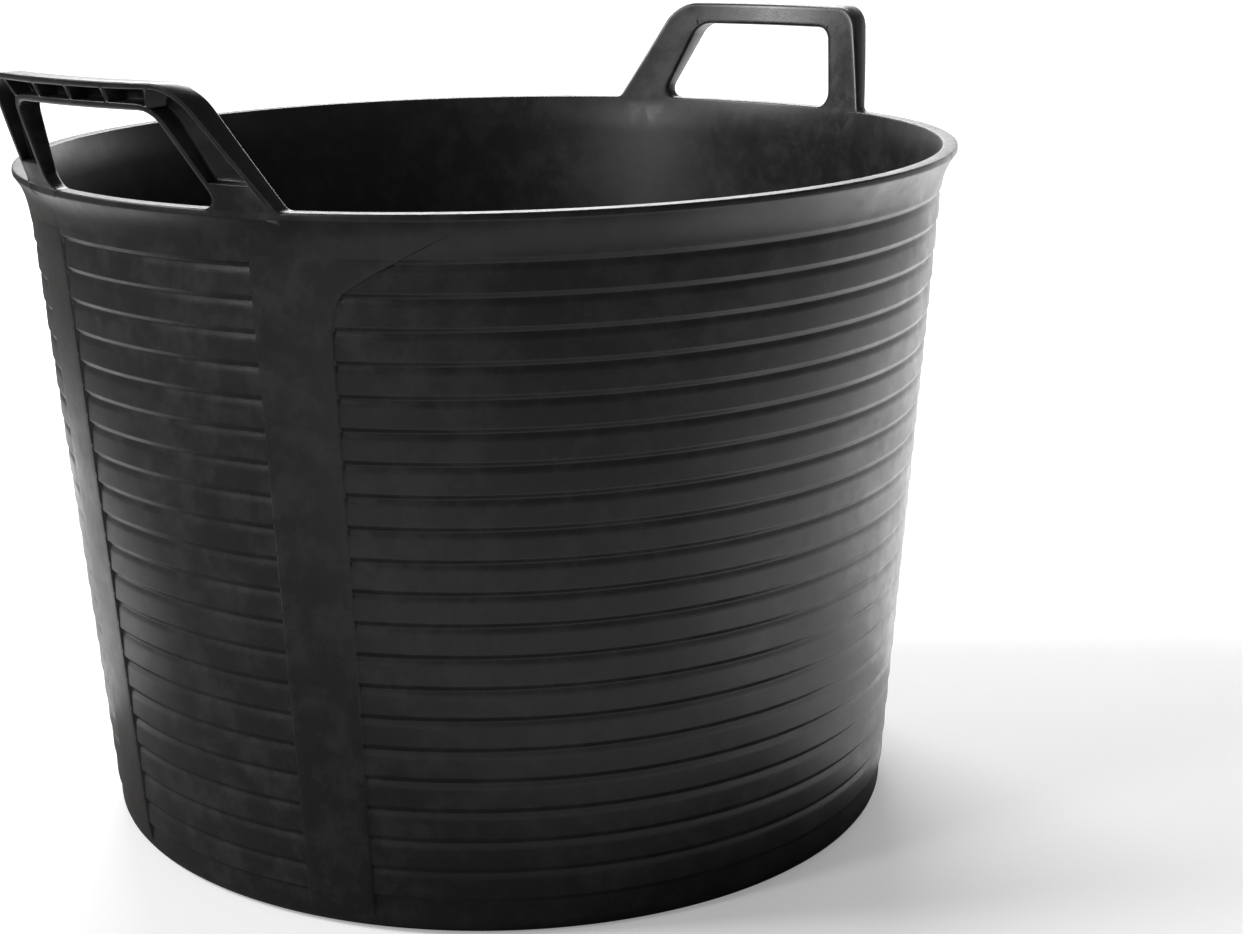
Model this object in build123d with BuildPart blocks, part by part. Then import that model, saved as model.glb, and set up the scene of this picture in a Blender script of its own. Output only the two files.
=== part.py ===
from build123d import *
import os
from math import atan2, cos, degrees, radians, sin, tan

os.makedirs("parts", exist_ok=True)

# A flexible round mixing tub with two loop handles. Millimetres, +Z up. The origin is the centre of
# the face it stands on. The handles are on the X axis, the right one at +X, and the front is at -Y.

# Overall sizes
rim_radius = 230.0  # outer edge of the rim lip
rim_height = 326.0  # top of the rim lip above the ground
base_radius = 188.0  # outer edge of the face the tub stands on
wall_thickness = 4.2  # from the inner wall to the sharp edges of the steps

# Floor and foot ring
base_corner_radius = 7.0  # round at the outer edge of the base
floor_thickness = 4.5
floor_recess = 3.0  # how far the floor's underside stays off the ground
foot_ring_width = 16.0  # width of the face the tub stands on
inner_corner_radius = 6.0  # round between the inner wall and the floor

# Steps round the wall: each has a sharp lower edge, then a sloping face that falls back
step_count = 21
collar_height = 19.5  # rim top down to the first sharp edge
last_edge_height = 18.5  # last sharp edge above the ground
step_depth = 1.2  # how far each sloping face falls back
step_face_height = 3.0  # height of each sloping face

# Rim collar and lip
collar_flare = 7.2  # how far the lip stands out from the first sharp edge
collar_start_angle = 8.0  # the collar's outer face from upright, where it leaves the first edge
lip_width = 7.0  # flat top of the rim
lip_edge_height = 2.8  # upright outer face of the lip

# Smooth upright strips, two under each handle
strip_start_angle = 16.3  # from the handle's centre to the strip's near edge
strip_width_angle = 9.3
strip_proud = 0.4  # how far a strip stands out from the sharp edges
strip_fade = 6.0  # height over which a strip's top comes back to the collar

# Handles, drawn as seen along X: half widths across Y, heights above the rim top
handle_height = 53.7
handle_foot_half_width = 82.5
handle_top_half_width = 61.0  # where the leg's outer line meets the top line, before rounding
handle_corner_radius = 18.0
window_height = 41.9
window_toe_half_width = 48.0  # where the foot's toe meets the rim
window_toe_height = 6.5
window_foot_half_width = 55.3
window_top_half_width = 44.4
window_corner_radius = 9.0
grip_depth = 12.5  # grip's thickness away from its inner face
web_thickness = 3.0  # inner plate of the open channel
flange_thickness = 3.0  # the channel's two edges
rib_thickness = 2.4
rib_spacing = 22.5
corner_rib_tilt = 25.0  # degrees from upright

# Flexing line of each handle, just above its solid feet
flex_height = 12.0  # above the rim top
flex_round_margin = 0.6  # how far the legs' round lower ends stand out past their depth
flex_clearance = 0.3
flex_inward_angle = 30.0
flex_outward_angle = 10.0
flex_relief_angle = 3.0  # extra slope of the feet beyond each limit

# Everything below is worked out from the sizes above
first_edge_height = rim_height - collar_height
first_edge_radius = rim_radius - collar_flare
base_edge_radius = base_radius + base_corner_radius
wall_slope = (first_edge_radius - base_edge_radius) / first_edge_height
step_pitch = (first_edge_height - last_edge_height) / (step_count - 1)
floor_top = floor_recess + floor_thickness
foot_ring_inner_radius = base_radius - foot_ring_width
ring_top = last_edge_height - step_face_height
rim_inner_radius = rim_radius - lip_width
handle_top = rim_height + handle_height
flex_line_height = rim_height + flex_height
well_outside = 2 * rim_radius


def edge_radius(z):
    """Radius of the cone through the sharp edges of the steps."""
    return base_edge_radius + wall_slope * z


def inner_radius(z):
    """Radius of the inner wall below the collar."""
    return edge_radius(z) - wall_thickness


# The inner wall curves out through the collar and runs on, without a ledge, as the handles' inner face
wall_angle = atan2(wall_slope, 1)
collar_chord_angle = atan2(rim_inner_radius - inner_radius(first_edge_height), collar_height)
handle_lean_angle = 2 * collar_chord_angle - wall_angle
inner_lean = tan(handle_lean_angle)
web_offset = web_thickness / cos(handle_lean_angle)
grip_inner_radius = rim_inner_radius + handle_height * inner_lean
grip_outer_radius = grip_inner_radius + grip_depth / cos(handle_lean_angle)
outer_lean = (grip_outer_radius - rim_radius) / handle_height


def plane_at(angle):
    """The upright plane through the tub's axis at an angle from +X, with its own X pointing outward."""
    turn = radians(angle)
    return Plane(origin=(0, 0, 0), x_dir=(cos(turn), sin(turn), 0), z_dir=(sin(turn), -cos(turn), 0))


def finish(piece, name):
    """Name a finished piece and write its STEP file."""
    piece.label = name
    export_step(piece, f"parts/{name}.step")


# ---------------------------------------------------------------- wall: four stepped panels, four strips
wall_top_inner = (inner_radius(first_edge_height), first_edge_height)
wall_foot_inner = (inner_radius(ring_top), ring_top)
panel_section = [wall_top_inner]
for step in range(step_count):
    edge_height = first_edge_height - step * step_pitch
    panel_section.append((edge_radius(edge_height), edge_height))
    panel_section.append((edge_radius(edge_height) - step_depth, edge_height - step_face_height))
panel_section.append(wall_foot_inner)
strip_section = [
    wall_top_inner,
    (first_edge_radius, first_edge_height),
    (edge_radius(first_edge_height - strip_fade) + strip_proud, first_edge_height - strip_fade),
    (edge_radius(ring_top) + strip_proud, ring_top),
    wall_foot_inner,
]
strip_far_angle = strip_start_angle + strip_width_angle
strip_angles = {
    "right_rear_strip": strip_start_angle,
    "left_rear_strip": 180 - strip_far_angle,
    "left_front_strip": 180 + strip_start_angle,
    "right_front_strip": 360 - strip_far_angle,
}
wide_sweep = 180 - 2 * strip_far_angle
narrow_sweep = 2 * strip_start_angle
wall_sectors = [
    ("rear_wall_panel", panel_section, strip_far_angle, wide_sweep),
    ("front_wall_panel", panel_section, 180 + strip_far_angle, wide_sweep),
    ("right_wall_panel", panel_section, -strip_start_angle, narrow_sweep),
    ("left_wall_panel", panel_section, 180 - strip_start_angle, narrow_sweep),
]
for strip_name, start_angle in strip_angles.items():
    wall_sectors.append((strip_name, strip_section, start_angle, strip_width_angle))
for sector_name, section, start_angle, sweep in wall_sectors:
    with BuildPart() as sector:
        with BuildSketch(plane_at(start_angle)):
            with BuildLine():
                Polyline(*section, close=True)
            make_face()
        revolve(axis=Axis.Z, revolution_arc=sweep)
    finish(sector.part, sector_name)

# ---------------------------------------------------------------- floor, foot ring and base corner
floor_radius = inner_radius(floor_top) - inner_corner_radius
with BuildPart() as tub_floor:
    with BuildSketch(Plane.XY.offset(floor_recess)):
        Circle(floor_radius)
    extrude(amount=floor_thickness)
finish(tub_floor.part, "tub_floor")

# The base's whole rim, from the ground to the last step, cut level with the floor's underside
inner_corner = (inner_radius(floor_top), floor_top)
with BuildPart() as base_rim:
    with BuildSketch(Plane.XZ) as base_section:
        with BuildLine():
            Polyline(
                (base_edge_radius, base_corner_radius),
                (edge_radius(last_edge_height) - step_depth, ring_top),
                wall_foot_inner,
                inner_corner,
                (floor_radius, floor_top),
                (floor_radius, floor_recess),
                (foot_ring_inner_radius, floor_recess),
                (foot_ring_inner_radius, 0),
                (base_radius, 0),
            )
            JernArc((base_radius, 0), (1, 0), base_corner_radius, 90)
        make_face()
        fillet(base_section.vertices().sort_by_distance(inner_corner)[0], inner_corner_radius)
    revolve(axis=Axis.Z)
    for start_angle in strip_angles.values():
        with BuildSketch(plane_at(start_angle)):
            with BuildLine():
                Polyline(
                    (base_edge_radius - step_depth, base_corner_radius),
                    (base_edge_radius, base_corner_radius),
                    (edge_radius(ring_top) + strip_proud, ring_top),
                    (edge_radius(ring_top) - wall_thickness / 2, ring_top),
                    close=True,
                )
            make_face()
        revolve(axis=Axis.Z, revolution_arc=strip_width_angle)
for side, name in {Keep.TOP: "base_corner", Keep.BOTTOM: "foot_ring"}.items():
    with BuildPart() as base_piece:
        add(base_rim.part)
        split(bisect_by=Plane.XY.offset(floor_recess), keep=side)
    finish(base_piece.part, name)

# ---------------------------------------------------------------- rim collar
with BuildPart() as rim_collar:
    with BuildSketch(Plane.XZ):
        with BuildLine():
            TangentArc(
                (first_edge_radius, first_edge_height),
                (rim_radius, rim_height - lip_edge_height),
                tangent=(sin(radians(collar_start_angle)), cos(radians(collar_start_angle))),
            )
            Polyline(
                (rim_radius, rim_height - lip_edge_height),
                (rim_radius, rim_height),
                (rim_inner_radius, rim_height),
            )
            TangentArc(
                (inner_radius(first_edge_height), first_edge_height),
                (rim_inner_radius, rim_height),
                tangent=(wall_slope, 1),
            )
            Line((inner_radius(first_edge_height), first_edge_height), (first_edge_radius, first_edge_height))
        make_face()
    revolve(axis=Axis.Z)
finish(rim_collar.part, "rim_collar")

# ---------------------------------------------------------------- right handle and its two feet
# The loop is a leaning curved plate, cut to its outline and window as seen along X
with BuildPart() as loop:
    with BuildSketch(Plane.XZ):
        with BuildLine():
            Polyline(
                (rim_inner_radius, rim_height),
                (rim_radius, rim_height),
                (grip_outer_radius, handle_top),
                (grip_inner_radius, handle_top),
                close=True,
            )
        make_face()
    revolve(axis=Axis.Z)
    with BuildSketch(Plane.YZ) as loop_outline:
        with BuildLine():
            Polyline(
                (-handle_foot_half_width, rim_height),
                (handle_foot_half_width, rim_height),
                (handle_top_half_width, handle_top),
                (-handle_top_half_width, handle_top),
                close=True,
            )
        make_face()
        fillet(loop_outline.vertices().group_by(Axis.Y)[-1], handle_corner_radius)
    extrude(amount=well_outside, mode=Mode.INTERSECT)
    with BuildSketch(Plane.YZ) as window:
        with BuildLine():
            Polyline(
                (-window_toe_half_width, rim_height),
                (window_toe_half_width, rim_height),
                (window_foot_half_width, rim_height + window_toe_height),
                (window_top_half_width, rim_height + window_height),
                (-window_top_half_width, rim_height + window_height),
                (-window_foot_half_width, rim_height + window_toe_height),
                close=True,
            )
        make_face()
        fillet(window.vertices().group_by(Axis.Y)[-1], window_corner_radius)
    extrude(amount=well_outside, mode=Mode.SUBTRACT)

# The channel opens outward. It starts at the flexing line, and ribs cross it in the grip
corner_rib_half_width = 2 * rib_spacing
rib_middle_height = rim_height + (handle_height + window_height) / 2
rib_tilts = {-corner_rib_half_width: corner_rib_tilt, corner_rib_half_width: -corner_rib_tilt}
for rib_number in (-1, 0, 1):
    rib_tilts[rib_number * rib_spacing] = 0
with BuildSketch(Plane.YZ) as channel_gap:
    add(window.sketch_local)
    offset(amount=flange_thickness, kind=Kind.INTERSECTION, mode=Mode.REPLACE)
    with Locations((0, flex_line_height - well_outside / 2)):
        Rectangle(well_outside, well_outside)
    for across, tilt in rib_tilts.items():
        with Locations(Location((across, rib_middle_height, 0), (0, 0, tilt))):
            Rectangle(rib_thickness, handle_height)
with BuildPart() as channel:
    with BuildSketch(Plane.YZ):
        add(loop_outline.sketch_local)
        offset(amount=-flange_thickness, mode=Mode.REPLACE)
        add(channel_gap.sketch_local, mode=Mode.SUBTRACT)
    extrude(amount=well_outside)
    with BuildSketch(Plane.XZ):
        with BuildLine():
            Polyline(
                (0, rim_height),
                (rim_inner_radius + web_offset, rim_height),
                (grip_inner_radius + web_offset, handle_top),
                (0, handle_top),
                close=True,
            )
        make_face()
    revolve(axis=Axis.Z, mode=Mode.SUBTRACT)

# The flexing line runs straight between the two feet, through the middle of both legs
leg_narrowing = (handle_foot_half_width - handle_top_half_width) / handle_height
leg_outer_y = handle_foot_half_width - flex_height * leg_narrowing
leg_inner_y = window_foot_half_width
leg_inner_x = ((rim_inner_radius + flex_height * inner_lean) ** 2 - leg_outer_y**2) ** 0.5
leg_outer_x = ((rim_radius + flex_height * outer_lean) ** 2 - leg_inner_y**2) ** 0.5
flex_line_x = (leg_inner_x + leg_outer_x) / 2
flex_round_radius = (leg_outer_x - leg_inner_x) / 2 + flex_round_margin

# The loop above its feet: all of it over the flexing line, and a round end below it
with BuildPart() as right_handle:
    add(loop.part)
    add(channel.part, mode=Mode.SUBTRACT)
    with BuildSketch(Plane.XZ.offset(-well_outside / 2)):
        with Locations((flex_line_x, flex_line_height + handle_height)):
            Rectangle(well_outside, 2 * handle_height)
        with Locations((flex_line_x, flex_line_height)):
            Circle(flex_round_radius)
    extrude(amount=well_outside, mode=Mode.INTERSECT)

# The feet below it: a round seat, and a roof that slopes away so the legs can lean both ways
roof_inward_slope = tan(radians(flex_inward_angle + flex_relief_angle))
roof_outward_slope = tan(radians(flex_outward_angle + flex_relief_angle))
with BuildPart() as right_feet:
    add(loop.part)
    with BuildSketch(Plane.XZ.offset(-well_outside / 2)):
        with BuildLine():
            Polyline(
                (flex_line_x, flex_line_height),
                (flex_line_x - flex_height / roof_inward_slope, rim_height),
                (flex_line_x + flex_height / roof_outward_slope, rim_height),
                close=True,
            )
        make_face()
        with Locations((flex_line_x, flex_line_height)):
            Circle(flex_round_radius + flex_clearance, mode=Mode.SUBTRACT)
    extrude(amount=well_outside, mode=Mode.INTERSECT)

finish(right_handle.part, "right_handle")
finish(mirror(right_handle.part, about=Plane.YZ), "left_handle")
right_rear_foot = right_feet.solids().sort_by(Axis.Y)[-1]
right_front_foot = right_feet.solids().sort_by(Axis.Y)[0]
for end_name, foot in {"rear": right_rear_foot, "front": right_front_foot}.items():
    finish(foot, f"right_{end_name}_foot")
    finish(mirror(foot, about=Plane.YZ), f"left_{end_name}_foot")

print(f"flexing line x {flex_line_x:.2f} z {flex_line_height:.2f}, round end radius {flex_round_radius:.2f}")
print(f"handles lean {degrees(handle_lean_angle):.1f} degrees, and reach x {grip_outer_radius:.1f}")
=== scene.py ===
import math

import bpy
import numpy as np
from mathutils import Euler, Matrix, Vector


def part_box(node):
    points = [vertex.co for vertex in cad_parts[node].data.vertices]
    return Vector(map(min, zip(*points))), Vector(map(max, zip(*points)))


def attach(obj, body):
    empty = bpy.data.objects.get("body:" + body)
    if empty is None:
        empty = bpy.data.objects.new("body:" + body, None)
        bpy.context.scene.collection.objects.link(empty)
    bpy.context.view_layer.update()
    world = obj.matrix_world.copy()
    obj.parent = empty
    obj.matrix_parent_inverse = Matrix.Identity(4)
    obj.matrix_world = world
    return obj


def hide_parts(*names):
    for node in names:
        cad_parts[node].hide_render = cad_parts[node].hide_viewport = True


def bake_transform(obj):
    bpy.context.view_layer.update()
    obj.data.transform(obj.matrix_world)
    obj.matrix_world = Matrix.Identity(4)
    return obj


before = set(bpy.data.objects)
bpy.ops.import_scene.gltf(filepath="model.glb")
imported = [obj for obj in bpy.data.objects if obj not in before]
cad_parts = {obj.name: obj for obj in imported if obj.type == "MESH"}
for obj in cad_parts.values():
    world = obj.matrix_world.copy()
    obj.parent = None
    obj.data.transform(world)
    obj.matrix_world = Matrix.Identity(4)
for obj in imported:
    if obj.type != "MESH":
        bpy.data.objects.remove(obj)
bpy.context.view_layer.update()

# A round flexible rubber mixing tub. The real one is a single moulding, so the tub is one closed mesh,
# and each handle is one more, which grows out of the rim.
# Lengths in the shape code are millimetres, and put_mesh() turns them into metres.

# ---------------------------------------------------------------- sizes
MM = 1000.0
collar_low, collar_high = (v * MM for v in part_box("rim_collar"))
floor_low, floor_high = (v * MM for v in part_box("tub_floor"))
handle_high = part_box("right_handle")[1] * MM

RIM_R = collar_high.x
RIM_Z = collar_high.z
FIRST_EDGE_Z = collar_low.z
FLOOR_TOP = floor_high.z
FLOOR_UNDER = floor_low.z
HANDLE_H = handle_high.z - RIM_Z

LIP_WIDTH = 7.0
LIP_EDGE = 2.8
COLLAR_FLARE = 7.2
COLLAR_START_ANGLE = math.radians(8.0)
WALL = 4.2
STEP_COUNT = 21
LAST_EDGE_Z = 18.5
GROOVE_DEPTH = 1.4
GROOVE_HEIGHT = 2.0
SHOULDER_DEPTH = 0.85
SHOULDER_HEIGHT = 4.4
BASE_R = 188.0
BASE_ROUND = 7.0
FOOT_RING_WIDTH = 16.0
STRIP_PROUD = 0.4
STRIP_FADE_TOP_Z, STRIP_FADE_TOP, STRIP_FADE_BASE = 310, 10, 9
NARROW_DROP, NARROW_DROP_Z = 3.0, 12
INSIDE_SHIFT_Z = 190
STRIP_NEAR = 16.3
STRIP_FAR = 25.6
# a wide panel's top corner: where it turns, how softly, its degrees per mm after that, and where it stops
CORNER_Z = 290.6
CORNER_ROUND = 3.3
CORNER_RATE = 0.5
CORNER_TOP_Z = 323.0

FIRST_EDGE_R = RIM_R - COLLAR_FLARE
BASE_EDGE_R = BASE_R + BASE_ROUND
SLOPE = (FIRST_EDGE_R - BASE_EDGE_R) / FIRST_EDGE_Z
STEP_PITCH = (FIRST_EDGE_Z - LAST_EDGE_Z) / (STEP_COUNT - 1)
RIM_INNER_R = RIM_R - LIP_WIDTH


def edge_r(z):
    """Radius of the cone through the sharp edges of the steps."""
    return BASE_EDGE_R + SLOPE * z


def bezier(a, corner, b, count):
    """Points of a round corner, from a to b."""
    t = np.linspace(0, 1, count)[:, None]
    a, corner, b = (np.array(p, float) for p in (a, corner, b))
    return (1 - t) ** 2 * a + 2 * t * (1 - t) * corner + t ** 2 * b


def rounded(points, radii, counts):
    """A polyline with round corners. Each inner point has how far its round reaches and its point count."""
    points = [np.array(p, float) for p in points]
    out = [points[0]]
    for before, p, after, reach, count in zip(points, points[1:], points[2:], radii, counts):
        back = (before - p) / np.linalg.norm(before - p)
        on = (after - p) / np.linalg.norm(after - p)
        out.extend(bezier(p + back * reach[0], p, p + on * reach[1], count))
    out.append(points[-1])
    return np.array(out)


def tangent_arc(start, end, direction, count):
    """Points of the arc from start to end that leaves start in that direction, both ends included."""
    start, end = np.array(start, float), np.array(end, float)
    d = np.array(direction, float)
    d /= np.linalg.norm(d)
    normal = np.array([d[1], -d[0]])
    chord = end - start
    radius = chord @ chord / (2 * (chord @ normal))
    centre = start + normal * radius
    a0 = math.atan2(*(start - centre)[::-1])
    a1 = math.atan2(*(end - centre)[::-1])
    a1 = a0 + (a1 - a0 + math.pi) % (2 * math.pi) - math.pi
    a = np.linspace(a0, a1, count)
    return centre + abs(radius) * np.stack([np.cos(a), np.sin(a)], 1)


def smooth(t):
    t = np.clip(t, 0, 1)
    return t * t * (3 - 2 * t)


def put_mesh(name, vertices, faces):
    mesh = bpy.data.meshes.new(name)
    mesh.from_pydata((np.asarray(vertices) / MM).tolist(), [], [list(map(int, f)) for f in faces])
    mesh.update()
    for polygon in mesh.polygons:
        polygon.use_smooth = True
    piece = bpy.data.objects.new(name, mesh)
    bpy.context.scene.collection.objects.link(piece)
    return piece


# ---------------------------------------------------------------- tub
# Rows run from the middle of the floor, up the inside, over the lip, down the outside and under the base
inner_wall_top = (FIRST_EDGE_R - WALL, FIRST_EDGE_Z)
inner_wall_foot = (edge_r(FLOOR_TOP) - WALL, FLOOR_TOP)
inner_collar = tangent_arc(inner_wall_top, (RIM_INNER_R, RIM_Z), (SLOPE, 1), 15)
outer_collar = tangent_arc((FIRST_EDGE_R, FIRST_EDGE_Z), (RIM_R, RIM_Z - LIP_EDGE),
                           (math.sin(COLLAR_START_ANGLE), math.cos(COLLAR_START_ANGLE)), 14)


def floor_and_inside():
    rows = [(r, FLOOR_TOP) for r in (14, 45, 80, 115, 145, 168)]
    corner = rounded([(168, FLOOR_TOP), inner_wall_foot, inner_wall_top], [(6.5, 6.5)], [7])
    rows.extend(corner[1:-1])
    for z in np.linspace(30, FIRST_EDGE_Z, 13):
        rows.append((edge_r(z) - WALL, z))
    rows.extend(inner_collar[1:-1])
    lip_points = [inner_collar[-2], (RIM_INNER_R, RIM_Z), (RIM_R, RIM_Z), (RIM_R, RIM_Z - LIP_EDGE)]
    lip = rounded([*lip_points, outer_collar[-2]], [(0.8, 0.9), (0.9, 0.9), (0.4, 0.6)], [5, 5, 3])
    rows.extend(lip[1:-1])
    return rows


def collar_rows():
    return list(outer_collar[::-1][1:-1])


def step_section():
    """Rows of the stepped wall: under each sharp edge the face falls back, turns, and comes out again."""
    points = [tuple(outer_collar[1])]
    reaches, counts = [], []
    for step in range(STEP_COUNT):
        z = FIRST_EDGE_Z - step * STEP_PITCH
        points.append((edge_r(z), z))
        points.append((edge_r(z) - GROOVE_DEPTH, z - GROOVE_HEIGHT))
        points.append((edge_r(z) - SHOULDER_DEPTH, z - SHOULDER_HEIGHT))
        # two more rows hold the rest of the step flat
        flat = SHOULDER_DEPTH - SLOPE * SHOULDER_HEIGHT
        for share in (0.16, 0.93):
            below = SHOULDER_HEIGHT + (STEP_PITCH - SHOULDER_HEIGHT) * share
            points.append((edge_r(z - below) - flat * (1 - share), z - below))
        reaches.extend([(0.35, 0.3), (0.5, 0.5), (0.8, 0.9), (0, 0), (0, 0)])
        counts.extend([3, 3, 2, 1, 1])
    points = points[:-3] + [(BASE_EDGE_R, BASE_ROUND)]
    return rounded(points, reaches[:-3], counts[:-3])[1:-1]


def base_rows():
    turn = np.linspace(0, math.pi / 2, 7)
    rows = [(BASE_R + BASE_ROUND * math.cos(a), BASE_ROUND * (1 - math.sin(a))) for a in turn]
    inner = BASE_R - FOOT_RING_WIDTH
    under = rounded([(BASE_R, 0), (inner, 0), (inner, FLOOR_UNDER), (inner - 30, FLOOR_UNDER)],
                    [(1.0, 1.0), (1.0, 1.0)], [4, 4])
    rows.extend(under[1:])
    rows.extend((r, FLOOR_UNDER) for r in (110, 80, 45, 14))
    return rows


def corner_shift(z):
    """Degrees by which a wide panel's edge leaves its strip near the rim, to run along the collar."""
    over = (np.minimum(z, CORNER_TOP_Z) - CORNER_Z) / CORNER_ROUND
    return CORNER_RATE * CORNER_ROUND * np.log1p(np.exp(over))


def tub_columns():
    """(degrees from the handle, kind, inset in mm) for a quarter, from a handle to a wide panel's middle."""
    columns = [(a, "narrow", 0) for a in np.linspace(0, STRIP_NEAR - 0.30, 14)]
    columns += [(STRIP_NEAR - 0.10, "narrow", 0), (STRIP_NEAR - 0.03, "narrow", 0)]
    columns += [(STRIP_NEAR + 0.05, "strip", 0.12), (STRIP_NEAR + 0.22, "strip", 0)]
    columns += [(a, "strip", 0) for a in np.linspace(STRIP_NEAR + 1.2, STRIP_FAR - 1.0, 7)]
    columns += [(STRIP_FAR - 0.22, "strip", 0), (STRIP_FAR - 0.05, "strip", 0.12)]
    columns += [(STRIP_FAR + 0.03, "wide", 0), (STRIP_FAR + 0.10, "wide", 0), (STRIP_FAR + 0.35, "wide", 0)]
    columns += [(a, "wide", 0) for a in np.linspace(STRIP_FAR + 1.2, 90, 51)]
    return columns


def tub_mesh():
    inside = floor_and_inside()
    collar = collar_rows()
    steps = step_section()
    base = base_rows()
    rows = np.array([*inside, *collar, *steps, *base], float)
    outside_start = len(inside)
    steps_start = outside_start + len(collar)
    base_start = steps_start + len(steps)

    quarter = tub_columns()
    half = quarter + [(180 - a, kind, inset) for a, kind, inset in quarter[::-1][1:]]
    ring = half + [(360 - a, kind, inset) for a, kind, inset in half[::-1][1:-1]]

    z = rows[:, 1]
    index = np.arange(len(rows))
    outside = index >= outside_start
    steps_rows = (index >= steps_start) & (index < base_start)
    # strips and the collar beside them stand a little proud, and come back level near the lip and the base
    fade_top = 1 - smooth((z - STRIP_FADE_TOP_Z) / STRIP_FADE_TOP)
    proud = STRIP_PROUD * fade_top * smooth((z - BASE_ROUND) / STRIP_FADE_BASE)
    collar_r = np.where(z > FIRST_EDGE_Z, rows[:, 0], edge_r(z))
    smooth_r = np.where((index >= outside_start) & (index < base_start), collar_r, rows[:, 0])
    shift = np.where(outside & (index < base_start), corner_shift(z), 0.0)
    lip_shift = corner_shift(RIM_Z) * smooth((z - INSIDE_SHIFT_Z) / (RIM_Z - INSIDE_SHIFT_Z))
    shift = np.where(index < outside_start, lip_shift, shift)

    vertices = []
    for angle, kind, inset in ring:
        folded = angle % 180
        folded = min(folded, 180 - folded)
        # columns make room for the wide panels' corners
        if folded <= STRIP_NEAR + 0.23:
            moved = np.zeros(len(rows))
        elif folded <= STRIP_FAR:
            moved = shift * (folded - STRIP_NEAR - 0.23) / (STRIP_FAR - STRIP_NEAR - 0.28)
        else:
            moved = shift * (90 - folded) / (90 - STRIP_FAR)
        moved = np.minimum(moved, shift)
        away = 1 if angle % 180 < 90 else -1
        a = np.radians(angle + away * moved)
        r = rows[:, 0].copy()
        if kind == "strip":
            r = np.where(outside, smooth_r + proud - inset * (proud > 0.05), r)
        elif kind == "narrow":
            above = outside & (z >= FIRST_EDGE_Z - 0.2)
            r = np.where(above, r + proud, r)
        lower = NARROW_DROP if kind == "narrow" else 0.0
        drop = np.where(steps_rows, lower * smooth((z - NARROW_DROP_Z) / NARROW_DROP_Z), 0.0)
        r = r - SLOPE * drop
        column = np.stack([r * np.cos(a), r * np.sin(a), z - drop], 1)
        vertices.append(column)
    count, height = len(ring), len(rows)
    vertices = np.array(vertices).reshape(-1, 3)
    faces = []
    for c in range(count):
        n = (c + 1) % count
        for row in range(height - 1):
            faces.append((c * height + row, n * height + row, n * height + row + 1, c * height + row + 1))
    top, bottom = len(vertices), len(vertices) + 1
    vertices = np.vstack([vertices, [(0, 0, FLOOR_TOP), (0, 0, FLOOR_UNDER)]])
    for c in range(count):
        n = (c + 1) % count
        faces.append((top, n * height, c * height))
        faces.append((bottom, c * height + height - 1, n * height + height - 1))
    return vertices, faces


tub = put_mesh("tub_moulding", *tub_mesh())

# ---------------------------------------------------------------- handles
FOOT_HALF, TOP_HALF, CORNER_R = 82.5, 61.0, 18.0
OUTER_FLARE = 3.0
WINDOW_H = 41.9
WINDOW_FOOT, WINDOW_TOE_H = 55.3, 6.5
WINDOW_TOP, WINDOW_R = 44.4, 9.0
WINDOW_FLARE = 6.5
WEB = 3.0
FLANGE = 3.0
RIB = 2.4
RIB_SPACING = 22.5
END_RIB_LEAN = 2.75
# heights where the foot's flares end, and half widths where the top corners start, outside and in the window
FLARE_TOP_OUTER, FLARE_TOP_INNER = 1.9, 7.8
CORNER_START_OUTER, CORNER_START_INNER = 65.6, 46.4
CHANNEL_FOOT = 11.0
PAD_DEPTH = 3.4
SKIRT = 20.0

collar_chord = math.atan2(RIM_INNER_R - inner_wall_top[0], RIM_Z - FIRST_EDGE_Z)
LEAN = math.tan(2 * collar_chord - math.atan(SLOPE))
GRIP_OUTER_R = handle_high.x
OUTER_LEAN = (GRIP_OUTER_R - RIM_R) / HANDLE_H


def inner_face_r(h):
    """Radius of the handle's inner face, which goes on from the tub's inner wall without a ledge."""
    below = np.interp(RIM_Z + h, inner_collar[:, 1], inner_collar[:, 0])
    below = np.where(RIM_Z + h < FIRST_EDGE_Z, edge_r(RIM_Z + h) - WALL, below)
    return np.where(h >= 0, RIM_INNER_R + LEAN * h, below)


def outer_face_r(h):
    """Radius of the foot's and the grip's outer face. It leaves the lip's edge gently."""
    blend_top = 4.0
    rise = OUTER_LEAN * blend_top - 0.08 - 0.02 * (blend_top + PAD_DEPTH)
    k = rise / (blend_top + PAD_DEPTH) ** 2
    low = RIM_R + 0.08 + 0.02 * (h + PAD_DEPTH) + k * np.maximum(h + PAD_DEPTH, 0) ** 2
    return np.where(h >= blend_top, RIM_R + OUTER_LEAN * h, low)


def half_curve(points, radii, counts):
    """Half of a loop's outline in (across, height), from the rim to the grip's middle, as a polyline."""
    curve = [np.array(points[0], float)]
    for i, (radius, count) in enumerate(zip(radii, counts)):
        before, p, after = (np.array(points[i + k], float) for k in (0, 1, 2))
        back, on = before - p, after - p
        back /= np.linalg.norm(back)
        on /= np.linalg.norm(on)
        half_angle = math.acos(np.clip(back @ on, -1, 1)) / 2
        reach = radius / math.tan(half_angle)
        centre = p + (back + on) / np.linalg.norm(back + on) * radius / math.sin(half_angle)
        start, end = p + back * reach - centre, p + on * reach - centre
        a0, a1 = math.atan2(start[1], start[0]), math.atan2(end[1], end[0])
        a1 = a0 + (a1 - a0 + math.pi) % (2 * math.pi) - math.pi
        for a in np.linspace(a0, a1, count):
            curve.append(centre + radius * np.array([math.cos(a), math.sin(a)]))
    curve.append(np.array(points[-1], float))
    return np.array(curve)


def along(curve):
    return np.concatenate([[0], np.cumsum(np.linalg.norm(np.diff(curve, axis=0), axis=1))])


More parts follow.
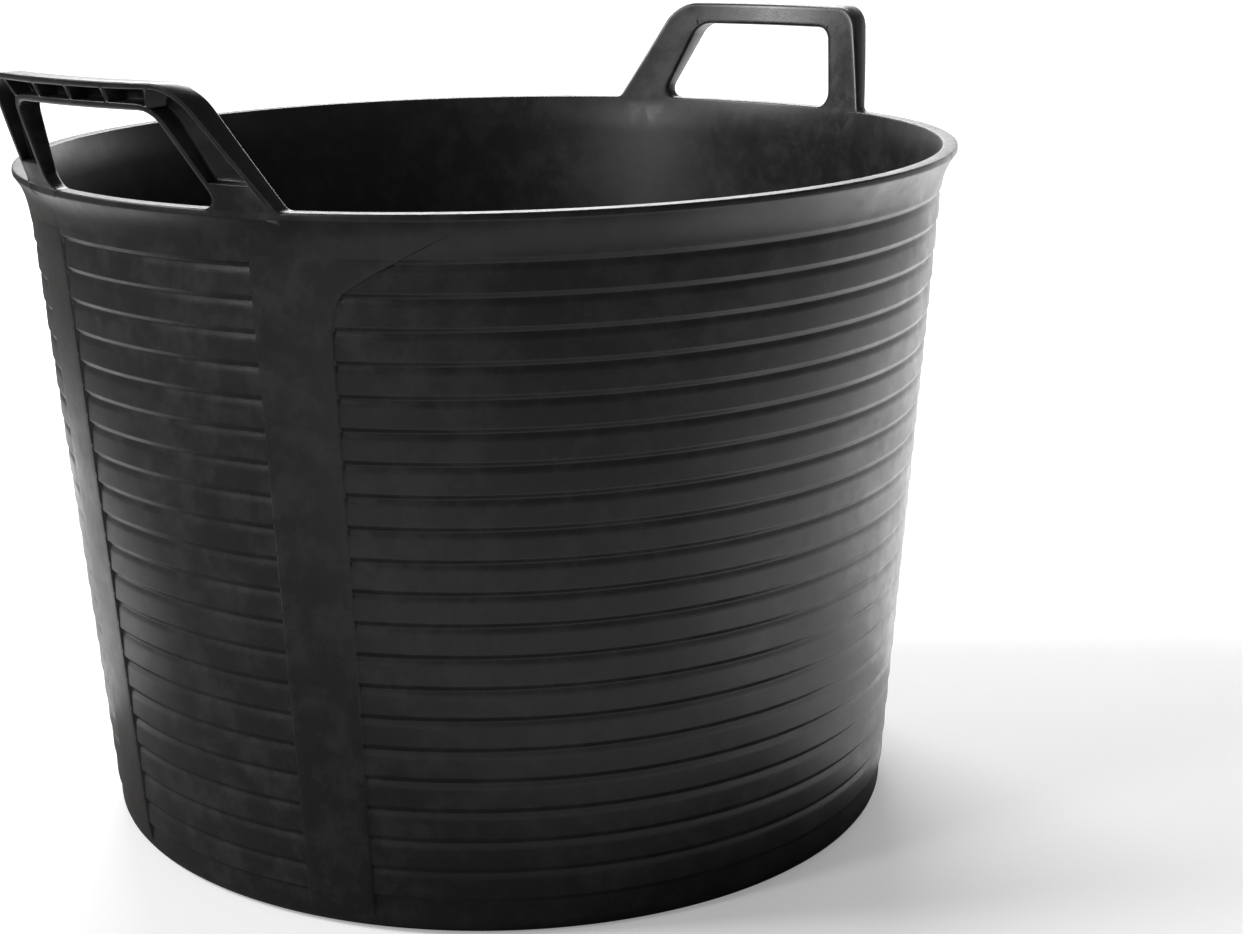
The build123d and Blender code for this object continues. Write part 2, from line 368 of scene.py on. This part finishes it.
def at(curve, s):
    length = along(curve)
    return np.stack([np.interp(s, length, curve[:, 0]), np.interp(s, length, curve[:, 1])], -1)


def where(curve, test):
    """Length along the curve at the first point that passes."""
    length = along(curve)
    fine = np.linspace(0, length[-1], 4000)
    points = at(curve, fine)
    for s, p in zip(fine, points):
        if test(p):
            return s
    return length[-1]


leg_foot_y = WINDOW_FOOT + WINDOW_TOE_H * (WINDOW_FOOT - WINDOW_TOP) / (WINDOW_H - WINDOW_TOE_H)
outline = half_curve([(FOOT_HALF + 12, 0), (FOOT_HALF, 0), (TOP_HALF, HANDLE_H), (0, HANDLE_H)],
                     [OUTER_FLARE, CORNER_R], [12, 24])[1:]
window = half_curve([(leg_foot_y - 20, 0), (leg_foot_y, 0), (WINDOW_TOP, WINDOW_H), (0, WINDOW_H)],
                    [WINDOW_FLARE, WINDOW_R], [12, 24])[1:]


def stations():
    """Pairs of lengths along the outline and the window, and the channel's fill there: open 0 to filled 1."""
    outer_total, inner_total = along(outline)[-1], along(window)[-1]
    flare_o = where(outline, lambda p: p[1] >= FLARE_TOP_OUTER)
    flare_i = where(window, lambda p: p[1] >= FLARE_TOP_INNER)
    arc_o = where(outline, lambda p: p[0] <= CORNER_START_OUTER)
    arc_i = where(window, lambda p: p[0] <= CORNER_START_INNER)
    keys = [(0, 0), (flare_o * 0.5, flare_i * 0.35), (flare_o + 4.0, flare_i), (arc_o, arc_i)]
    for across, lean in ((2 * RIB_SPACING, END_RIB_LEAN), (RIB_SPACING, 0), (0, 0)):
        on_outline = where(outline, lambda p: p[0] <= across + lean)
        on_window = where(window, lambda p: p[0] <= across - lean)
        keys.append((on_outline, on_window))
    keys[-1] = (outer_total, inner_total)
    key_o, key_i = np.array(keys).T
    k = np.arange(len(keys))

    def pair(t):
        return np.interp(t, k, key_o), np.interp(t, k, key_i)

    spans = [np.linspace(0, 1, 6)[:-1], np.linspace(1, 2, 6)[:-1], np.linspace(2, 3, 12)[:-1]]
    spans += [np.linspace(3, 4, 14)[:-1], np.linspace(4, 5, 9)[:-1], np.linspace(5, 6, 9)]
    found = []
    for t in np.concatenate(spans):
        found.append((*pair(t), 0.0))
    # each rib: a steep side, a flat top and a steep side
    side = [(RIB / 2 + 0.5, 0), (RIB / 2 + 0.15, 0.05), (RIB / 2 - 0.1, 0.93), (RIB / 2 - 0.4, 1)]
    for key in (4, 5, 6):
        o, i = pair(key)
        found = [s for s in found if abs(s[0] - o) > RIB / 2 + 0.9]
        for offset, fill in (*[(-d, fill) for d, fill in side], (0, 1), *side[::-1]):
            if key == 6 and offset > 0:
                continue
            found.append((o + offset, i + offset, fill))
    found.sort()
    # the solid foot: the channel stops at a steep ledge
    o_ledge = where(outline, lambda p: p[1] >= CHANNEL_FOOT)
    i_ledge = np.interp(o_ledge, key_o, key_i)
    rate = np.interp(o_ledge + 1, key_o, key_i) - i_ledge
    found = [s for s in found if abs(s[0] - o_ledge) > 1.4]
    found = [(o, i, 1.0 if o < o_ledge else fill) for o, i, fill in found]
    for offset, fill in ((-0.9, 1), (-0.4, 1), (0.0, 0.95), (0.55, 0.08), (1.0, 0)):
        found.append((o_ledge + offset, i_ledge + offset * rate, fill))
    found.sort()
    return found


def section(length, depth, floor):
    """Closed loop round an open channel's section, in mm from the window's edge and from the inner face."""
    r_in = min(1.8, length / 4, depth / 3)
    r_out = 0.8
    gap = max(depth - floor, 0.02)
    r_lip = min(0.6, gap * 0.5)
    r_foot = min(1.0, gap * 0.4)
    quarter = np.linspace(0, math.pi / 2, 5)
    third = np.linspace(0, math.pi / 2, 3)
    near = []
    near += [(r_in * (1 - math.cos(a)), r_in * (1 - math.sin(a))) for a in quarter]
    near += [(r_in + (length / 2 - r_in) * share, 0.0) for share in (0.2, 0.5)]
    inner_face = near + [(length / 2, 0.0)] + [(length - a, b) for a, b in near[::-1]]
    outer = [(r_out * (1 - math.cos(a)), depth - r_out * (1 - math.sin(a))) for a in third]
    lip = [(FLANGE - r_lip * (1 - math.sin(a)), depth - r_lip * (1 - math.cos(a))) for a in third]
    foot = [(FLANGE + 0.3 + r_foot * (1 - math.cos(a)), floor + r_foot * (1 - math.sin(a))) for a in third]
    side = outer + lip + foot
    outward = [(length - a, b) for a, b in side]
    loop = inner_face + outward + [(length / 2, floor)] + side[::-1]
    return np.array(loop)


def handle_mesh(mirror):
    found = stations()
    half = []
    # below the rim the inner face runs on as a skirt in the wall, and the outer face as a pad on the lip
    sink = [1.0, 0.8, 0.6, 0.42, 0.28, 0.16, 0.07, 0.02]
    for depth in sink:
        half.append((0.0, 0.0, 1.0, depth))
    half += [(o, i, fill, 0.0) for o, i, fill in found]
    full = [(*s, 1) for s in half] + [(*s, -1) for s in half[::-1][1:]]
    rings = []
    for o, i, fill, depth_share, side in full:
        outer_point, inner_point = at(outline, o), at(window, i)
        length = np.linalg.norm(outer_point - inner_point)
        middle_h = (outer_point[1] + inner_point[1]) / 2
        face_gap = (outer_face_r(middle_h) - inner_face_r(middle_h)) * math.cos(math.atan(LEAN))
        # ribs stop a little below the channel's edge, and the solid foot hardly at all
        below_edge = 0.35 if 0 < fill and o > 40 else 0.02
        floor = WEB + fill * (face_gap - below_edge - WEB)
        loop = section(length, face_gap, floor)
        p, q = loop[:, 0] / length, np.clip(loop[:, 1] / face_gap, 0, 1)
        y = inner_point[0] + (outer_point[0] - inner_point[0]) * p
        h = inner_point[1] + (outer_point[1] - inner_point[1]) * p
        if depth_share > 0:
            h = -(SKIRT * (1 - q) ** 5 + PAD_DEPTH * (1 - (1 - q) ** 5)) * depth_share
            # the edges sink out of sight, and the skirt feathers out under the wall
            from_edge = np.minimum(loop[:, 0], length - loop[:, 0])
            y = y + np.where(p > 0.5, -1, 1) * 0.5 * min(1, depth_share * 8)
            lift = 0.12 - 0.26 * depth_share ** 1.3
            lift = lift - 0.35 * np.clip(1 - from_edge / 9, 0, 1) ** 2
            lift = lift * min(1, depth_share * 8)
            radius_in = inner_face_r(h) - lift
            out_lift = np.where(from_edge < 1.0, -0.3, 0.0) * min(1, depth_share * 8)
            radius_out = outer_face_r(h) + out_lift - 0.25 * smooth((depth_share - 0.8) / 0.2)
        else:
            radius_in = inner_face_r(h)
            radius_out = outer_face_r(h)
        x_in = np.sqrt(radius_in ** 2 - y ** 2)
        x_out = np.sqrt(radius_out ** 2 - y ** 2)
        x = x_in + q * (x_out - x_in)
        rings.append(np.stack([x * mirror, y * side, RIM_Z + h], 1))
    count, loop_size = len(rings), len(rings[0])
    vertices = np.array(rings).reshape(-1, 3)
    faces = []
    for s in range(count - 1):
        here, there = s * loop_size, (s + 1) * loop_size
        for k in range(loop_size):
            n = (k + 1) % loop_size
            faces.append((here + k, here + n, there + n, there + k))
    faces.append(tuple(range(loop_size))[::-1])
    faces.append(tuple((count - 1) * loop_size + k for k in range(loop_size)))
    if mirror > 0:
        faces = [f[::-1] for f in faces]
    return vertices, faces


handles = {}
for side, mirror in (("left", -1), ("right", 1)):
    handles[side] = put_mesh(f"{side}_handle_moulding", *handle_mesh(mirror))

# ---------------------------------------------------------------- rubber


def rubber(name, base, light, rough, grain, seed):
    material = bpy.data.materials.new(name)
    material.use_nodes = True
    nodes, links = material.node_tree.nodes, material.node_tree.links
    shader = nodes["Principled BSDF"]
    where_node = nodes.new("ShaderNodeTexCoord")
    coordinates = where_node.outputs["Object"]

    def noise(scale, detail, roughness, offset):
        mapping = nodes.new("ShaderNodeMapping")
        mapping.inputs["Location"].default_value = (offset, seed, offset * 0.5)
        links.new(coordinates, mapping.inputs["Vector"])
        texture = nodes.new("ShaderNodeTexNoise")
        texture.inputs["Scale"].default_value = scale
        texture.inputs["Detail"].default_value = detail
        texture.inputs["Roughness"].default_value = roughness
        links.new(mapping.outputs["Vector"], texture.inputs["Vector"])
        return texture.outputs["Fac"]

    def ramp(value, low, high, a, b):
        mapped = nodes.new("ShaderNodeMapRange")
        mapped.inputs["From Min"].default_value = low
        mapped.inputs["From Max"].default_value = high
        mapped.inputs["To Min"].default_value = a
        mapped.inputs["To Max"].default_value = b
        links.new(value, mapped.inputs["Value"])
        return mapped.outputs["Result"]

    cloud = noise(55, 10, 0.72, 1.3)
    fleck = noise(160, 4, 0.65, 4.1)
    mix = nodes.new("ShaderNodeMix")
    mix.data_type = "RGBA"
    mix.inputs["A"].default_value = (*base, 1)
    mix.inputs["B"].default_value = (*light, 1)
    links.new(ramp(cloud, 0.47, 0.60, 0, 1), mix.inputs["Factor"])
    links.new(mix.outputs["Result"], shader.inputs["Base Color"])
    total = nodes.new("ShaderNodeMath")
    total.operation = "ADD"
    links.new(ramp(cloud, 0.3, 0.7, rough[0], rough[1]), total.inputs[0])
    links.new(ramp(fleck, 0.3, 0.7, -0.03, 0.03), total.inputs[1])
    links.new(total.outputs["Value"], shader.inputs["Roughness"])
    bump = nodes.new("ShaderNodeBump")
    bump.inputs["Strength"].default_value = 0.25
    bump.inputs["Distance"].default_value = grain
    links.new(noise(900, 3, 0.6, 2.2), bump.inputs["Height"])
    broad = nodes.new("ShaderNodeBump")
    broad.inputs["Strength"].default_value = 0.2
    broad.inputs["Distance"].default_value = 0.0006
    links.new(noise(34, 3, 0.5, 7.7), broad.inputs["Height"])
    links.new(broad.outputs["Normal"], bump.inputs["Normal"])
    links.new(bump.outputs["Normal"], shader.inputs["Normal"])
    shader.inputs["Specular IOR Level"].default_value = 0.5
    return material


GRAIN = 0.0002
tub_rubber = rubber("tub_rubber", (0.0095, 0.0088, 0.0088), (0.020, 0.0186, 0.0186), (0.33, 0.46), GRAIN, 0.0)
handle_rubber = rubber("handle_rubber", (0.0105, 0.0098, 0.0098), (0.026, 0.0244, 0.0244), (0.27, 0.42),
                       GRAIN, 5.0)
tub.data.materials.append(tub_rubber)
for piece in handles.values():
    piece.data.materials.append(handle_rubber)

# ---------------------------------------------------------------- what each piece stands for, and the tub's body
TUB_NODES = [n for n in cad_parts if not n.endswith(("_handle", "_foot"))]
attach(tub, "tub")
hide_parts(*sorted(TUB_NODES))
for side, piece in handles.items():
    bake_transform(piece)
    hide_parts(f"{side}_handle", f"{side}_front_foot", f"{side}_rear_foot")

# ---------------------------------------------------------------- floor, light and camera
# how much the floor glows to the camera: close to the tub, and far from it
GLOW_NEAR, GLOW_FAR = 0.26, 0.9


def stage_floor():
    bpy.ops.mesh.primitive_plane_add(size=40, location=(0, 0, 0))
    floor = bpy.context.object
    floor.name = "floor"
    material = bpy.data.materials.new("floor_white")
    material.use_nodes = True
    nodes, links = material.node_tree.nodes, material.node_tree.links
    shader = nodes["Principled BSDF"]
    shader.inputs["Roughness"].default_value = 0.9
    # the floor is pale to look at, and throws less light back up on the tub
    path = nodes.new("ShaderNodeLightPath")
    shade = nodes.new("ShaderNodeMix")
    shade.data_type = "RGBA"
    shade.inputs["A"].default_value = (0.16, 0.155, 0.15, 1)
    shade.inputs["B"].default_value = (0.88, 0.88, 0.88, 1)
    links.new(path.outputs["Is Camera Ray"], shade.inputs["Factor"])
    links.new(shade.outputs["Result"], shader.inputs["Base Color"])
    glow = nodes.new("ShaderNodeMapRange")
    glow.inputs["To Min"].default_value = 0
    links.new(path.outputs["Is Camera Ray"], glow.inputs["Value"])
    # far from the tub, where the lights don't reach, it is as white as the backdrop
    coordinates = nodes.new("ShaderNodeTexCoord")
    distance = nodes.new("ShaderNodeVectorMath")
    distance.operation = "LENGTH"
    links.new(coordinates.outputs["Object"], distance.inputs[0])
    reach = nodes.new("ShaderNodeMapRange")
    for socket, value in (("From Min", 0.8), ("From Max", 1.7), ("To Min", GLOW_NEAR), ("To Max", GLOW_FAR)):
        reach.inputs[socket].default_value = value
    links.new(distance.outputs["Value"], reach.inputs["Value"])
    links.new(reach.outputs["Result"], glow.inputs["To Max"])
    links.new(glow.outputs["Result"], shader.inputs["Emission Strength"])
    shader.inputs["Emission Color"].default_value = (1, 1, 1, 1)
    floor.data.materials.append(material)
    return floor


stage_floor()

world = bpy.data.worlds.new("studio")
bpy.context.scene.world = world
world.use_nodes = True
bpy.context.scene.view_settings.view_transform = "Standard"


def studio_world(seen, light):
    """White behind the object, and a much dimmer even light on it."""
    nodes, links = world.node_tree.nodes, world.node_tree.links
    background = nodes["Background"]
    background.inputs["Color"].default_value = (1, 1, 1, 1)
    path = nodes.new("ShaderNodeLightPath")
    strength = nodes.new("ShaderNodeMapRange")
    strength.inputs["To Min"].default_value = light
    strength.inputs["To Max"].default_value = seen
    links.new(path.outputs["Is Camera Ray"], strength.inputs["Value"])
    links.new(strength.outputs["Result"], background.inputs["Strength"])


studio_world(1.0, 0.12)

# the camera stands on a circle round the tub; turn is measured from the front, towards the left handle
CAMERA_TURN = math.radians(47.5)
CAMERA_DISTANCE = 1.1169
CAMERA_HEIGHT = 0.4624
YAW, PITCH, ROLL = 0.0066, 0.1912, -0.0237


def around(turn, distance, height):
    """A point round the tub, as the camera's place is measured."""
    return Vector((-math.sin(turn) * distance, -math.cos(turn) * distance, height))


def soft_light(name, turn, distance, height, aim, size, power):
    data = bpy.data.lights.new(name, "AREA")
    data.shape = "RECTANGLE"
    data.size, data.size_y = size
    data.energy = power
    light = bpy.data.objects.new(name, data)
    light.location = around(math.radians(turn), distance, height)
    light.rotation_euler = (light.location - Vector(aim)).to_track_quat("Z", "Y").to_euler()
    light.visible_camera = False
    bpy.context.scene.collection.objects.link(light)
    return light


def low_panel(name, turn, distance, height, size, power):
    """Light that a bright studio floor throws: an unseen soft light just over the floor, facing up.

    Each has its own height, because two that overlap in one plane leave hard edges in their light."""
    data = bpy.data.lights.new(name, "AREA")
    data.shape = "RECTANGLE"
    data.size, data.size_y = size
    data.energy = power
    light = bpy.data.objects.new(name, data)
    light.location = around(math.radians(turn), distance, height)
    light.rotation_euler = (math.pi, 0, -math.radians(turn))
    light.visible_camera = False
    bpy.context.scene.collection.objects.link(light)
    return light


def sun(name, turn, height, strength, angle):
    data = bpy.data.lights.new(name, "SUN")
    data.energy = strength
    data.angle = math.radians(angle)
    light = bpy.data.objects.new(name, data)
    height = math.radians(height)
    direction = around(math.radians(turn), math.cos(height), math.sin(height))
    light.rotation_euler = direction.to_track_quat("Z", "Y").to_euler()
    bpy.context.scene.collection.objects.link(light)
    return light


# turn 47.5 is the camera's side, -42.5 is its right, 137.5 its left
sun("key", 138, 38, 2.4, 22)
soft_light("left_window", 98.5, 1.6, 0.78, (0, 0, 0.33), (0.26, 0.6), 7.5)
soft_light("backdrop", 227.5, 2.2, 0.6, (0, 0, 0.3), (2.6, 1.0), 9)
soft_light("back_top", 224, 1.6, 1.4, (0, 0, 0.35), (1.3, 0.6), 30)
soft_light("right_panel", -75, 1.35, 0.30, (0, 0, 0.12), (1.3, 0.6), 1.5)
soft_light("back_panel", -110, 1.35, 0.35, (0, 0, 0.15), (1.5, 0.7), 6)
low_panel("right_low", -66, 0.72, 0.002, (1.1, 1.08), 3.7)
low_panel("back_low", -110, 0.77, 0.006, (1.6, 1.16), 9)
low_panel("left_low", 190, 0.48, 0.004, (0.8, 0.56), 1.8)
low_panel("front_low", 25, 0.52, 0.008, (1.5, 0.44), 1.1)

camera_data = bpy.data.cameras.new("camera")
camera = bpy.data.objects.new("camera", camera_data)
camera.location = around(CAMERA_TURN, CAMERA_DISTANCE, CAMERA_HEIGHT)
turn = Euler((math.pi / 2 - PITCH, 0, -CAMERA_TURN - YAW)).to_matrix() @ Matrix.Rotation(ROLL, 3, "Z")
camera.rotation_euler = turn.to_euler()
camera_data.sensor_width = 36
camera_data.lens = 65.57
camera_data.shift_x = 0.0949
camera_data.shift_y = -0.1339
bpy.context.scene.collection.objects.link(camera)
bpy.context.scene.camera = camera

bpy.context.view_layer.update()
